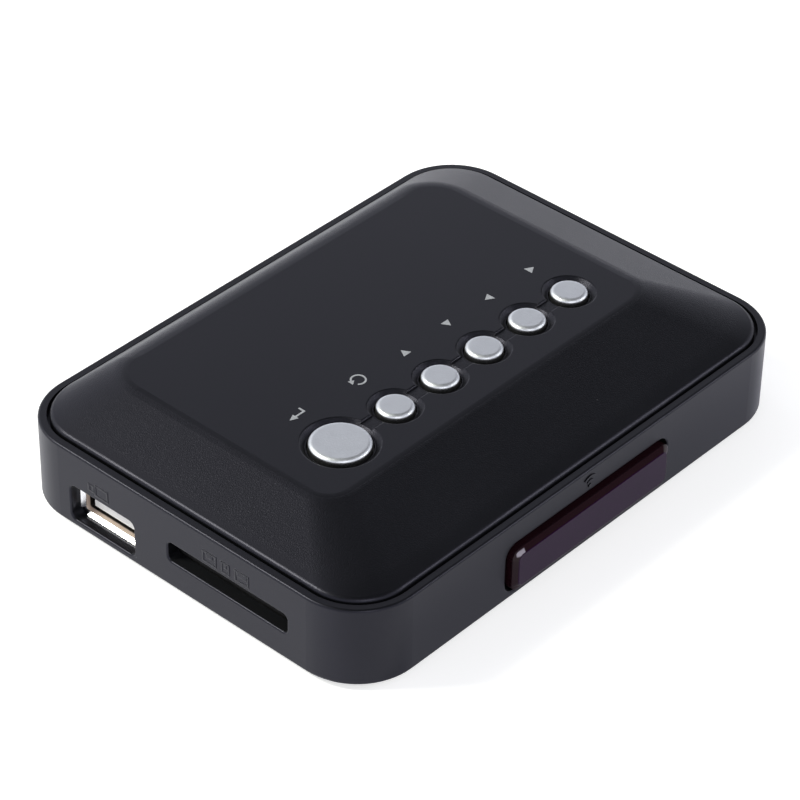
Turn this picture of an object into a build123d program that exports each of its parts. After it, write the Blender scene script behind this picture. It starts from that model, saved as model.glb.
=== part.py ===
from build123d import *
import math
import os

# A small solid-state media player box, in millimetres.
# +Z is up, the floor is z = 0, the front is -Y and the drive port and card slot face -X.
# The origin is under the middle of the case, where the rubber feet stand.

# Case
case_w = 104.0            # across the front
case_d = 75.6             # front to back
case_h = 14.65            # underside to rim
corner_r = 11.2           # corners in plan
wall = 2.4
floor_t = 1.65
under_r = 0.5             # edge round the underside
rim_r = 0.45              # outer edge of the rim
rim_flat = 1.4            # width of the flat rim
ledge_drop = 1.3          # the ledge that carries the cover, below the rim

# Cover
shadow_gap = 0.5          # dark groove between rim and cover
cover_t = 1.8
edge_lift = 0.4           # the cover's edge, above the rim
edge_r = 0.9
crown_rise = 4.15         # the flat top, above the cover's edge
slope_front = 17.7        # plan width of each slope
slope_left = 12.0
slope_right = 11.2
slope_back = 4.8
crown_front_r = 5.0       # corners of the flat top in plan
crown_back_r = 8.0
crest_r = 6.0             # soft crest round the flat top
lip_h = 1.5               # lip that centres the cover in the case
lip_t = 1.0
lip_gap = 0.2

# Feet and case screws
foot_d = 8.0
foot_t = 1.6
foot_sunk = 0.6
foot_gap = 0.1
post_in = 8.0             # post axis, in from the outer walls
post_r = 3.6
post_h = 6.5              # top of the lower posts, above the underside
shank_r = 1.15
head_r = 2.1
head_t = 1.5
screw_l = 8.0
screw_gap = 0.25          # clearance hole over a shank or a head
thread_gap = 0.03         # a shank in the hole that it has cut

# Remote window
window_w = 39.0
window_h = 9.2
window_up = 1.1           # lower edge, above the underside
window_r = 2.2
window_edge = 0.35        # eased outer edge of the opening
pane_gap = 0.6
pane_proud = 1.28
pane_bevel_in = 1.05      # bevel, across the face
pane_bevel_out = 0.6      # bevel, along the depth
flange_t = 1.2
flange_lap = 1.0

# Drive port, on the left wall
drive_ratio = 0.22487     # axis from the middle, over the case's depth
drive_seat = 0.1          # socket shell above the case floor
drive_w = 14.1
drive_h = 6.65
port_r = 1.1
port_edge = 0.35          # eased outer edge of a port
drive_shell_w = 13.1
drive_shell_h = 5.7
drive_shell_l = 13.8
sheet = 0.35              # pressed steel of the sockets
lip_flare = 0.42          # the drive socket's lips, outwards and forwards
lip_reach = 0.6
lip_tip = 0.25
tongue_back = 0.9         # a tongue starts this far behind the mouth
insert_l = 4.5            # moulded insert at the back of a socket

# Card slot, on the left wall
card_ratio = -0.1336      # axis from the middle, over the case's depth
card_up = 6.9
card_w = 25.2
card_h = 3.6
card_slot_r = 0.9
card_clear = 24.4         # card way through the socket
card_way_h = 2.25
card_wall = 1.3
card_back = 0.3           # socket behind the inside of the wall
card_base_l = 27.5
card_base_h = 2.8
card_cover_t = 0.3
card_contacts = 9
card_pitch = 2.4

# Rear ports, each axis from the middle over the case's width
video_ratio = 0.21154
video_w = 14.6
video_h = 5.9
video_l = 11.5
av_ratio = -0.02885
av_w = 6.6
av_h = 5.4
av_l = 12.0
av_bore_r = 1.8
av_bush_r = 2.6
power_ratio = -0.21154
power_w = 6.4
power_h = 5.8
power_l = 9.5
power_bore_r = 2.0
power_pin_r = 0.65
rear_gap = 0.35           # opening in the rear wall, over what it takes

# Boards
board_up = 5.3            # top of the main board, above the underside
board_t = 1.6
board_gap = 1.2           # main board edge to the wall
board_post_r = 2.5
board_screw_in = 5.4      # right-hand board screws, in from the board's edge
board_screw_back = 10.8   # right-hand board screws, in from the case screws
board_head_r = 1.9
board_head_t = 1.2
board_shank_r = 0.9
board_shank_l = 2.8
key_board_t = 1.2
key_board_d = 14.0
key_post_r = 2.0

# Buttons
row_in = 9.1              # row's axis, behind the front of the flat top
row_left = 12.25          # large button's axis, from the left end of the flat top
row_right = 10.2          # last small button's axis, from the right end
first_ratio = 1.195       # step from the large button, over the other steps
large_ratio = 0.481       # radius of the large cap, over a step
small_ratio = 0.3
dish_ratio = 0.1286       # dished ring round a cap, over a step
cap_proud = 0.35
cap_round = 0.8
cap_gap = 0.3             # round a cap, in its hole
flange_out = 0.8          # flange that keeps a cap under the cover
flange_th = 0.8
flange_rest = 0.15
cap_wall = 1.0
stem_r = 1.6
dish_depth = 0.8
dish_flat = 0.15          # level ring at the bottom of a dish
dish_r = 0.35
neck_w = 2.4              # shallow channel between the dishes
neck_depth = 0.4

# Key switches
switch_w = 6.0
switch_h = 3.2
frame_t = 0.3
plunger_r = 1.7
plunger_up = 1.0          # plunger above its frame at rest
plunger_in = 1.6          # plunger below the frame's top
plunger_gap = 0.3
plunger_room = 0.6        # free depth under a plunger

# Parts on the main board
main_chip_w = 14.0
memory_w = 10.2
memory_d = 18.4
flash_w = 5.2
can_l = 11.0
can_w = 4.8
can_h = 3.5
capacitor_w = 6.6
capacitor_h = 5.8
inductor_w = 7.0
inductor_h = 3.2
receiver_ratio = 0.256    # axis from the middle, over the window's width
light_ratio = -0.205
link_pitch = 2.0
link_count = 8

# Heights and half sizes that follow
base_z = foot_t - foot_sunk
rim_z = base_z + case_h
ledge_z = rim_z - ledge_drop
floor_z = base_z + floor_t
edge_z = rim_z + edge_lift
crown_z = edge_z + crown_rise
half_w = case_w / 2
half_d = case_d / 2
inner_w = half_w - wall
inner_d = half_d - wall
cover_in = rim_flat + shadow_gap
cover_hw = half_w - cover_in
cover_hd = half_d - cover_in
flat_left = slope_left - cover_hw
flat_right = cover_hw - slope_right
flat_front = slope_front - cover_hd
drive_y = drive_ratio * case_d
card_y = card_ratio * case_d
video_x = video_ratio * case_w
av_x = av_ratio * case_w
power_x = power_ratio * case_w
post_x = half_w - post_in
post_y = half_d - post_in
joint_z = base_z + post_h
board_z = base_z + board_up
board_hw = inner_w - board_gap
board_front = -inner_d + flange_t + board_gap
board_back = inner_d - board_gap
ceiling_z = crown_z - cover_t
flange_z = ceiling_z - flange_rest
plunger_z = flange_z - flange_th
frame_z = plunger_z - plunger_up
key_z = frame_z - frame_t - switch_h

row_y = flat_front + row_in
enter_x = flat_left + row_left
last_x = flat_right - row_right
small_step = (last_x - enter_x) / (first_ratio + 4)
enter_step = first_ratio * small_step
enter_r = large_ratio * small_step
small_r = small_ratio * small_step
dish_ring = dish_ratio * small_step
button_names = ["enter", "back", "up", "down", "left", "right"]
button_x = [enter_x] + [enter_x + enter_step + small_step * i for i in range(5)]
button_r = [enter_r] + [small_r] * 5
buttons = list(zip(button_names, button_x, button_r))

os.makedirs("parts", exist_ok=True)


def save(shape, name):
    shape.label = name
    export_step(shape, os.path.join("parts", name + ".step"))
    print(name, "volume", round(shape.volume, 1))


def plate(w, d, r, z0, z1, y=0.0):
    """A rounded rectangle in plan, between two heights."""
    return Pos(0, y, z0) * extrude(RectangleRounded(w, d, r), z1 - z0)


def block(x0, x1, y0, y1, z0, z1):
    """A box between two corners."""
    middle = Pos((x0 + x1) / 2, (y0 + y1) / 2, (z0 + z1) / 2)
    return middle * Box(abs(x1 - x0), abs(y1 - y0), abs(z1 - z0))


def rod(x, y, z0, z1, r):
    """An upright round bar."""
    return Pos(x, y, (z0 + z1) / 2) * Cylinder(r, z1 - z0)


def left_plane(x, y, z):
    """Looking out to the left: sketch up is +Z, and extrusion goes to -X."""
    return Plane(origin=(x, y, z), x_dir=(0, -1, 0), z_dir=(-1, 0, 0))


def front_plane(x, y, z):
    """Looking out of the front: sketch up is +Z, and extrusion goes to -Y."""
    return Plane(origin=(x, y, z), x_dir=(1, 0, 0), z_dir=(0, -1, 0))


def back_plane(x, y, z):
    """Looking out of the back: sketch up is +Z, and extrusion goes to +Y."""
    return Plane(origin=(x, y, z), x_dir=(-1, 0, 0), z_dir=(0, 1, 0))


def group(solids):
    """Separate solids that share one node."""
    return Compound(children=[s.solid() for s in solids])


def corner_points():
    return [(sx * post_x, sy * post_y) for sx in (-1, 1) for sy in (-1, 1)]


def board_points():
    """Main board screws: behind the card socket, beside the drive socket, and two on the right."""
    right = board_hw - board_screw_in
    aside = post_y - board_screw_back
    behind = mouth_x + card_back + card_base_l + board_post_r + 0.5
    beyond = board_back - board_post_r - 2.0
    inboard = post_x - post_r - board_post_r - 2.0
    return [(behind, card_y - card_clear / 5), (-inboard, beyond), (right, -aside), (right, aside)]


def on_board(across, along):
    """A place on the main board, as shares of its half width and of the case's half depth."""
    return across * board_hw, along * inner_d


def key_points():
    """Key board screws: past each end of the button row, and one behind it."""
    first = enter_x - enter_r - flange_out - key_post_r - 0.6
    last = button_x[-1] + small_r + flange_out + key_post_r + 0.6
    middle = (button_x[2] + button_x[3]) / 2
    behind = row_y + key_board_d / 2 - key_post_r - 0.2
    return [(first, row_y), (middle, behind), (last, row_y)]


def screw(x, y, head_z, head_up, length, shank, head, head_h):
    """A screw driven up from below: head_up is the face that the head pulls on."""
    body = rod(x, y, head_z, head_up, head) + rod(x, y, head_up, head_up + length, shank)
    slot = block(x - head * 0.7, x + head * 0.7, y - 0.2, y + 0.2, head_z, head_z + head_h * 0.4)
    cross = block(x - 0.2, x + 0.2, y - head * 0.7, y + head * 0.7, head_z, head_z + head_h * 0.4)
    return body - slot - cross


# Where each wall opening lies
drive_z = floor_z + drive_seat + drive_shell_h / 2
card_z = base_z + card_up
window_z = base_z + window_up + window_h / 2
video_z = board_z + video_h / 2
av_z = board_z + av_h / 2
power_z = board_z + power_h / 2
mouth_x = -inner_w
mouth_y = inner_d


def lower_case():
    shell = plate(case_w, case_d, corner_r, base_z, rim_z)
    shell = fillet(shell.faces().sort_by(Axis.Z)[0].edges(), under_r)
    shell = fillet(shell.faces().sort_by(Axis.Z)[-1].edges(), rim_r)
    shell -= plate(2 * inner_w, 2 * inner_d, corner_r - wall, floor_z, rim_z)
    rebate_w = case_w - 2 * rim_flat
    shell -= plate(rebate_w, case_d - 2 * rim_flat, corner_r - rim_flat, ledge_z, rim_z)
    for x, y in corner_points():
        shell += rod(x, y, floor_z, joint_z, post_r)
    for x, y in board_points():
        shell += rod(x, y, floor_z, board_z - board_t, board_post_r)
    for x, y in corner_points():
        shell -= rod(x, y, base_z, joint_z, shank_r + screw_gap)
        shell -= rod(x, y, base_z, base_z + foot_sunk + head_t, head_r + screw_gap)
        shell -= rod(x, y, base_z, base_z + foot_sunk, foot_d / 2 + foot_gap)
    for x, y in board_points():
        shell -= rod(x, y, floor_z - 1.0, board_z, board_shank_r + thread_gap)
    # Openings in the left and front walls
    outside = 2 * wall
    drive = left_plane(mouth_x, drive_y, drive_z) * RectangleRounded(drive_w, drive_h, port_r)
    card = left_plane(mouth_x, card_y, card_z) * RectangleRounded(card_w, card_h, card_slot_r)
    window = front_plane(0, -inner_d, window_z) * RectangleRounded(window_w, window_h, window_r)
    for sketch in (drive, card, window):
        shell -= extrude(sketch, outside)
    shell = fillet(opening_edges(shell, Axis.X), port_edge)
    shell = fillet(opening_edges(shell, Axis.Y), window_edge)
    # Openings in the rear wall
    video = back_plane(video_x, mouth_y, video_z) * video_outline(rear_gap)
    av = back_plane(av_x, mouth_y, av_z) * Circle(av_bush_r + rear_gap)
    power = back_plane(power_x, mouth_y, power_z) * Circle(power_bore_r + rear_gap)
    for sketch in (video, av, power):
        shell -= extrude(sketch, outside)
    return shell - vent_slots()


def opening_edges(shell, axis):
    """The edges of the openings in an outer wall: those that aren't on the wall's own outline."""
    wall_face = shell.faces().filter_by(axis).sort_by(axis)[0]
    return [edge for wire in wall_face.inner_wires() for edge in wire.edges()]


def vent_slots():
    """Air slots through the floor, under the middle of the main board."""
    slots = []
    for row in range(9):
        slot = Pos(4.0 * (row - 4), 2.0, base_z) * extrude(Rot(0, 0, 90) * SlotOverall(22.0, 1.5), floor_t)
        slots.append(slot)
    return slots


def rounded(w, d, front_r, back_r):
    """A rectangle in plan with its own corner radius at the front and at the back."""
    sketch = Rectangle(w, d)
    sketch = fillet(sketch.vertices().sort_by(Axis.Y)[:2], front_r)
    return fillet(sketch.vertices().sort_by(Axis.Y)[-2:], back_r)


def crest_in(slope, thickness):
    """How far the crest of a skin moves in, when the skin lies a thickness under the outside."""
    return thickness * math.tan(math.atan2(crown_rise, slope) / 2)


def crown(thickness, base, top):
    """The sloped top between two heights, a thickness inside the cover's outside."""
    low_r = corner_r - cover_in - thickness
    low = Pos(0, 0, base) * rounded(2 * (cover_hw - thickness), 2 * (cover_hd - thickness), low_r, low_r)
    front = -cover_hd + slope_front + crest_in(slope_front, thickness)
    back = cover_hd - slope_back - crest_in(slope_back, thickness)
    left = flat_left + crest_in(slope_left, thickness)
    right = flat_right - crest_in(slope_right, thickness)
    flat = rounded(right - left, back - front, crown_front_r, crown_back_r)
    return loft([low, Pos((left + right) / 2, (front + back) / 2, top) * flat], ruled=True)


def dishes():
    """The linked dishes round the buttons: each a shallow cone, joined by a channel."""
    half = neck_w / 2
    room = block(button_x[0], button_x[-1], row_y - half, row_y + half, crown_z - neck_depth, crown_z)
    for name, x, r in buttons:
        dish = Cone(r + cap_gap + dish_flat, r + dish_ring, dish_depth)
        room += Pos(x, row_y, crown_z - dish_depth / 2) * dish
    return room


def top_cover():
    top = crown(0.0, edge_z, crown_z)
    top = fillet(top.faces().sort_by(Axis.Z)[-1].edges(), crest_r)
    skirt = plate(2 * cover_hw, 2 * cover_hd, corner_r - cover_in, ledge_z, edge_z)
    cover = skirt + top
    at_edge = [e for e in cover.edges() if abs(e.center().Z - edge_z) < 0.01]
    cover = fillet(at_edge, edge_r)
    outer = cover
    inner_z = edge_z - 0.72 * cover_t
    hollow_r = corner_r - cover_in - cover_t
    hollow = plate(2 * (cover_hw - cover_t), 2 * (cover_hd - cover_t), hollow_r, ledge_z, inner_z)
    hollow += crown(cover_t, inner_z, ceiling_z)
    cover -= hollow
    # Centring lip, just inside the case wall
    lip_w = inner_w - lip_gap
    lip_d = inner_d - lip_gap
    lip_corner = corner_r - wall - lip_gap
    lip = plate(2 * lip_w, 2 * lip_d, lip_corner, ledge_z - lip_h, ledge_z + 0.5)
    lip -= plate(2 * (lip_w - lip_t), 2 * (lip_d - lip_t), lip_corner - lip_t, ledge_z - lip_h, edge_z)
    cover += lip
    # Screw bosses at the corners, and posts that carry the key board
    for x, y in corner_points():
        cover += rod(x, y, joint_z, crown_z, post_r) & (outer + rod(x, y, joint_z, ledge_z, post_r))
        bore_top = base_z + foot_sunk + head_t + screw_l + 0.5
        cover -= rod(x, y, joint_z, bore_top, shank_r + thread_gap)
    for x, y in key_points():
        cover += rod(x, y, key_z, ceiling_z + 0.2, key_post_r)
        cover -= rod(x, y, key_z, key_z + board_shank_l, board_shank_r + thread_gap)
    # Dished wells and the button holes
    cover -= dishes()
    at_top = [e for e in cover.edges() if abs(e.center().Z - crown_z) < 0.01]
    row = [e for e in at_top if abs(e.center().Y - row_y) < enter_r + dish_ring + 0.5]
    rims = [e for e in row if e.center().X < button_x[-1] + small_r + dish_ring + 0.5]
    rims = [e for e in rims if e.center().X > button_x[0] - enter_r - dish_ring - 0.5]
    cover = fillet(rims, dish_r)
    for name, x, r in buttons:
        cover -= rod(x, row_y, ceiling_z - 1.0, crown_z + 1.0, r + cap_gap)
    return cover


def button_cap(x, r):
    """A plated cap: crowned top, retaining flange, hollow underside with a stem."""
    top = crown_z + cap_proud
    cap = rod(x, row_y, flange_z - flange_th / 2, top, r)
    cap = fillet(cap.faces().sort_by(Axis.Z)[-1].edges(), cap_round)
    cap += rod(x, row_y, plunger_z, flange_z, r + flange_out)
    cap -= rod(x, row_y, plunger_z, top - cap_wall, r - cap_wall)
    return cap + rod(x, row_y, plunger_z, top - cap_wall / 2, stem_r)


def plunger(x):
    pin = rod(x, row_y, frame_z - plunger_in, plunger_z, plunger_r)
    return chamfer(pin.faces().sort_by(Axis.Z)[-1].edges(), 0.2)


def switch_housing(x):
    half = switch_w / 2
    housing = block(x - half, x + half, row_y - half, row_y + half, key_z, frame_z - frame_t)
    housing = chamfer(housing.edges().filter_by(Axis.Z), 0.5)
    depth = plunger_in + plunger_room
    return housing - rod(x, row_y, frame_z - depth, frame_z, plunger_r + plunger_gap)


def switch_frame(x):
    """Pressed steel top of a switch, with its two bent side tabs."""
    half = switch_w / 2
    frame = block(x - half, x + half, row_y - half, row_y + half, frame_z - frame_t, frame_z)
    frame = chamfer(frame.edges().filter_by(Axis.Z), 0.5)
    for side in (-1, 1):
        y0 = row_y + side * half
        tab = block(x - 1.0, x + 1.0, y0, y0 + side * frame_t, frame_z - 1.8, frame_z)
        frame += tab
    return frame - rod(x, row_y, frame_z - frame_t, frame_z, plunger_r + plunger_gap)


def window_pane():
    """Bevelled pane, proud of the wall, on a flange glued behind the opening."""
    w = window_w - 2 * pane_gap
    h = window_h - 2 * pane_gap
    body_l = wall + pane_proud - pane_bevel_out
    body = extrude(front_plane(0, -inner_d, window_z) * RectangleRounded(w, h, window_r - pane_gap), body_l)
    front_y = -inner_d - body_l
    low = front_plane(0, front_y, window_z) * RectangleRounded(w, h, window_r - pane_gap)
    face_r = window_r - pane_gap - 0.6
    face_w = w - 2 * pane_bevel_in
    face_h = h - 2 * pane_bevel_in
    high = front_plane(0, front_y - pane_bevel_out, window_z) * RectangleRounded(face_w, face_h, face_r)
    bevel = loft([low, high], ruled=True)
    half = window_w / 2 + flange_lap
    top = window_z + window_h / 2 + flange_lap
    flange = block(-half, half, -inner_d, -inner_d + flange_t, floor_z, top)
    flange = fillet(flange.edges().filter_by(Axis.Y).sort_by(Axis.Z)[-2:], 1.5)
    return body + bevel + flange


def main_board():
    board = block(-board_hw, board_hw, board_front, board_back, board_z - board_t, board_z)
    for x, y in corner_points():
        reach_x = abs(x) - post_r - 0.5
        reach_y = abs(y) - post_r - 0.5
        sx = math.copysign(1, x)
        sy = math.copysign(1, y)
        board -= block(sx * reach_x, sx * half_w, sy * reach_y, sy * half_d, 0, rim_z)
    notch = drive_shell_w / 2 + 0.15
    board -= block(-half_w, mouth_x + drive_shell_l + 0.15, drive_y - notch, drive_y + notch, 0, rim_z)
    for x, y in board_points():
        board -= rod(x, y, 0, rim_z, board_shank_r + screw_gap)
    return board


def key_board():
    ends = [key_points()[0][0] - key_post_r, key_points()[-1][0] + key_post_r]
    half = key_board_d / 2
    board = block(ends[0], ends[1], row_y - half, row_y + half, key_z - key_board_t, key_z)
    board = fillet(board.edges().filter_by(Axis.Z), 1.5)
    for x, y in key_points():
        board -= rod(x, y, 0, rim_z, board_shank_r + screw_gap)
    return board


def flap(y, z, wide, out_y, out_z):
    """One flared lip of the drive socket, from the middle of its edge, opening to one side."""
    tip_x = mouth_x - lip_reach
    along = Vector(0, abs(out_z), abs(out_y)) * wide
    out = Vector(0, out_y, out_z)
    root = Vector(mouth_x, y, z) - along * 0.5
    tip = Vector(tip_x, y, z) + out * lip_flare - along * 0.5
    corners = [root, root - out * sheet, tip - out * lip_tip, tip]
    return Solid.extrude(Face(Wire.make_polygon(corners, close=True)), along)


def drive_socket():
    """Sunk socket: folded shell on the board with flared lips, moulded tongue, four contacts on it."""
    mouth = left_plane(mouth_x, drive_y, drive_z)
    inner_sw = drive_shell_w - 2 * sheet
    inner_sh = drive_shell_h - 2 * sheet
    shell = extrude(mouth * RectangleRounded(drive_shell_w, drive_shell_h, 0.7), -drive_shell_l)
    shell -= extrude(mouth * RectangleRounded(inner_sw, inner_sh, 0.7 - sheet), -drive_shell_l)
    back_x = mouth_x + drive_shell_l
    # Windows pressed through the top and bottom for the spring fingers, and solder wings
    for side in (-1, 1):
        y = drive_y + side * 3.0
        shell -= block(mouth_x + 2.0, mouth_x + 7.0, y - 1.1, y + 1.1, 0, rim_z)
        y0 = drive_y + side * (drive_shell_w / 2 - sheet / 2)
        y1 = drive_y + side * (drive_shell_w / 2 + 1.6)
        shell += block(back_x - 8.0, back_x - 3.0, y0, y1, board_z, board_z + sheet)
    for side in (-1, 1):
        shell += flap(drive_y, drive_z + side * drive_shell_h / 2, drive_shell_w - 2.2, 0, side)
        shell += flap(drive_y + side * drive_shell_w / 2, drive_z, drive_shell_h - 1.6, side, 0)
    tongue_w = inner_sw - 2.2
    tongue_h = 1.9
    tongue_z = drive_z - 0.83
    tongue = extrude(mouth * RectangleRounded(inner_sw, inner_sh, 0.7 - sheet), -drive_shell_l)
    tongue &= block(back_x - insert_l, back_x, drive_y - drive_w, drive_y + drive_w, 0, rim_z)
    x0 = mouth_x + tongue_back
    y0 = drive_y - tongue_w / 2
    low = tongue_z - tongue_h / 2
    bar = block(x0, back_x - insert_l / 2, y0, y0 + tongue_w, low, low + tongue_h)
    bar = chamfer(bar.faces().sort_by(Axis.X)[0].edges().sort_by(Axis.Z)[-1], 0.4)
    tongue += bar
    over = tongue_z + tongue_h / 2
    contacts = []
    for i in range(4):
        y = drive_y + 2.3 * (i - 1.5)
        contacts.append(block(x0 + 0.8, back_x - insert_l, y - 0.5, y + 0.5, over, over + 0.25))
    return shell, tongue, group(contacts)


def card_socket():
    """Push-in card reader: tray with side rails, folded steel cover, row of contacts."""
    x0 = mouth_x + card_back
    x1 = x0 + card_base_l
    half = card_clear / 2 + card_wall
    base = block(x0, x1, card_y - half, card_y + half, board_z, board_z + card_base_h)
    base += block(x0, -board_hw - 0.15, card_y - half, card_y + half, board_z - board_t, board_z)
    way = card_clear / 2
    way_z = board_z + card_base_h - card_way_h
    base -= block(x0, x1 - 3.0, card_y - way, card_y + way, way_z, board_z + card_base_h)
    base = chamfer(base.edges().filter_by(Axis.Z).sort_by(Axis.X)[-2:], 1.5)
    top = board_z + card_base_h
    cover = block(x0 + 1.5, x1 - 2.0, card_y - half, card_y + half, top, top + card_cover_t)
    for i in range(3):
        y = card_y + (i - 1) * card_clear / 4
        cover -= block(x0 + 9.0, x0 + 17.0, y - 0.9, y + 0.9, top, top + card_cover_t)
    for side in (-1, 1):
        y = card_y + side * half
        cover += block(x0 + 4.0, x1 - 5.0, y, y + side * card_cover_t, board_z, top + card_cover_t)
    contacts = []
    for i in range(card_contacts):
        y = card_y + card_pitch * (i - (card_contacts - 1) / 2)
        contacts.append(block(x1 - 10.0, x1 - 3.0, y - 0.45, y + 0.45, way_z, way_z + 0.3))
    return base, cover, group(contacts)


def video_outline(grow):
    """Flat-topped outline that narrows below, as the rear video socket has."""
    w = video_w / 2
    h = video_h / 2
    points = [(-w, h), (w, h), (w, -0.2 * h), (w - 1.9, -h), (1.9 - w, -h), (-w, -0.2 * h)]
    face = make_face(Polyline(*points, close=True))
    face = fillet(face.vertices(), 0.5)
    return offset(face, grow) if grow else face


def video_socket():
    mouth = back_plane(video_x, mouth_y, video_z)
    shell = extrude(mouth * video_outline(0), -video_l)
    room = extrude(mouth * video_outline(-sheet), -video_l)
    shell -= room
    back_y = mouth_y - video_l
    tongue = room & block(video_x - video_w, video_x + video_w, back_y, back_y + insert_l, 0, rim_z)
    half = video_w / 2 - 1.8
    low = video_z + 0.2
    bar = block(video_x - half, video_x + half, back_y + insert_l / 2, mouth_y - tongue_back, low, low + 1.3)
    tongue += bar
    contacts = []
    for i in range(19):
        x = video_x + 0.5 * (i - 9)
        z = low + 1.3 if i % 2 else low - 0.15
        front = mouth_y - tongue_back - 0.6
        contacts.append(block(x - 0.15, x + 0.15, back_y + insert_l, front, z, z + 0.15))
    return shell, tongue, group(contacts)


def av_jack():
    """Rear sound and picture jack: moulded body with a plated bush through the wall."""
    back_y = mouth_y - av_l
    body = block(av_x - av_w / 2, av_x + av_w / 2, back_y, mouth_y - 0.2, board_z, board_z + av_h)
    body = chamfer(body.edges().filter_by(Axis.Y).sort_by(Axis.Z)[-2:], 0.8)
    body -= extrude(back_plane(av_x, mouth_y, av_z) * Circle(av_bore_r), -av_l + 1.5)
    nose = back_plane(av_x, mouth_y - 0.2, av_z) * (Circle(av_bush_r) - Circle(av_bore_r))
    bush = extrude(nose, wall - 0.2)
    return body, bush


def power_jack():
    """Rear power inlet: moulded body with a round well and a centre pin."""
    back_y = mouth_y - power_l
    x0 = power_x - power_w / 2
    body = block(x0, x0 + power_w, back_y, mouth_y - 0.2, board_z, board_z + power_h)
    body = chamfer(body.edges().filter_by(Axis.Y).sort_by(Axis.Z)[-2:], 0.8)
    body -= extrude(back_plane(power_x, mouth_y, power_z) * Circle(power_bore_r), -power_l + 1.5)
    pin = extrude(back_plane(power_x, back_y + 1.5, power_z) * Circle(power_pin_r), power_l - 2.5)
    pin = fillet(pin.faces().sort_by(Axis.Y)[-1].edges(), 0.3)
    return body, pin


def receiver():
    """Remote receiver behind the window: moulded body with a round lens, on three leads."""
    x = receiver_ratio * window_w
    back = board_front + 5.0
    low = board_z + 1.5
    body = block(x - 2.7, x + 2.7, back - 3.0, back, low, low + 6.0)
    body = chamfer(body.edges().filter_by(Axis.Z).sort_by(Axis.Y)[:2], 0.6)
    lens = Pos(x, back - 2.4, low + 3.2) * Sphere(2.1)
    body += lens
    leads = []
    for i in range(3):
        lead_x = x + 1.8 * (i - 1)
        leads.append(block(lead_x - 0.3, lead_x + 0.3, back - 1.8, back - 1.3, board_z, low))
    return body, group(leads)


def status_light():
    """Round lamp lying on its side behind the window, on two bent leads."""
    x = light_ratio * window_w
    back = board_front + 5.5
    mid = board_z + 2.6
    light = extrude(front_plane(x, back, mid) * Circle(1.9), 0.8)
    light += extrude(front_plane(x, back, mid) * Circle(1.5), 3.2)
    light += Pos(x, back - 3.2, mid) * Sphere(1.5)
    leads = []
    for side in (-1, 1):
        lead_x = x + 0.9 * side
        along = block(lead_x - 0.25, lead_x + 0.25, back, back + 1.5, mid - 0.25, mid + 0.25)
        down = block(lead_x - 0.25, lead_x + 0.25, back + 1.0, back + 1.5, board_z, mid)
        leads.append(along + down)
    return light, group(leads)


def chip(place, w, d, h, pins_x, pins_y, pitch):
    """A moulded package on gull-wing leads: pins_x on the sides facing X, pins_y on those facing Y."""
    x, y = place
    lift = 0.15
    body = block(x - w / 2, x + w / 2, y - d / 2, y + d / 2, board_z + lift, board_z + lift + h)
    body = chamfer(body.faces().sort_by(Axis.Z)[-1].edges(), 0.25)
    knee = board_z + lift + h / 2
    leads = []
    for side in (-1, 1):
        for i in range(pins_x):
            at = y + pitch * (i - (pins_x - 1) / 2)
            edge = x + side * w / 2
            arm = block(edge, edge + side * 0.7, at - 0.15, at + 0.15, knee - 0.1, knee + 0.1)
            foot = block(edge + side * 0.5, edge + side * 0.7, at - 0.15, at + 0.15, board_z, knee)
            leads.append(arm + foot)
        for i in range(pins_y):
            at = x + pitch * (i - (pins_y - 1) / 2)
            edge = y + side * d / 2
            arm = block(at - 0.15, at + 0.15, edge, edge + side * 0.7, knee - 0.1, knee + 0.1)
            foot = block(at - 0.15, at + 0.15, edge + side * 0.5, edge + side * 0.7, board_z, knee)
            leads.append(arm + foot)
    return body, group(leads)


def crystal_can():
    x, y = on_board(0.58, -0.565)
    flange = 0.5
    base = Pos(x, y, board_z) * extrude(SlotOverall(can_l, can_w), flange)
    lid = SlotOverall(can_l - 0.8, can_w - 0.8)
    can = Pos(x, y, board_z + flange) * extrude(lid, can_h - flange)
    can = fillet(can.faces().sort_by(Axis.Z)[-1].edges(), 0.5)
    return base + can


def capacitor(place):
    x, y = place
    half = capacitor_w / 2
    foot = 0.8
    base = block(x - half, x + half, y - half, y + half, board_z, board_z + foot)
    base = chamfer(base.edges().filter_by(Axis.Z).sort_by(Axis.Y)[-2:], 1.2)
    can = rod(x, y, board_z + foot, board_z + capacitor_h, half - 0.15)
    can = fillet(can.faces().sort_by(Axis.Z)[-1].edges(), 0.4)
    return base + can


def power_inductor():
    x, y = on_board(-0.57, 0.42)
    top = board_z + inductor_h
    core = Pos(x, y, board_z) * extrude(RectangleRounded(inductor_w, inductor_w, 1.5), inductor_h)
    groove = rod(x, y, top - 0.6, top, 0.4 * inductor_w) - rod(x, y, top - 0.6, top, 0.31 * inductor_w)
    return core - groove


def key_link():
    """Pin header on the main board, and the socket above it on the key board."""
    x = (button_x[3] + button_x[4]) / 2
    half = link_count * link_pitch / 2
    under = key_z - key_board_t
    header = block(x - half, x + half, row_y - 1.1, row_y + 1.1, board_z, board_z + 2.0)
    socket = block(x - half, x + half, row_y - 1.1, row_y + 1.1, board_z + 2.3, under)
    rods = []
    for i in range(link_count):
        at = x + link_pitch * (i - (link_count - 1) / 2)
        pin = block(at - 0.25, at + 0.25, row_y - 0.25, row_y + 0.25, board_z, under - 0.5)
        header -= pin
        socket -= pin
        rods.append(pin)
    return header, group(rods), socket


# Write every piece
save(lower_case(), "lower_case")
save(top_cover(), "top_cover")
save(window_pane(), "window_pane")
save(main_board(), "main_board")
save(key_board(), "key_board")

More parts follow.
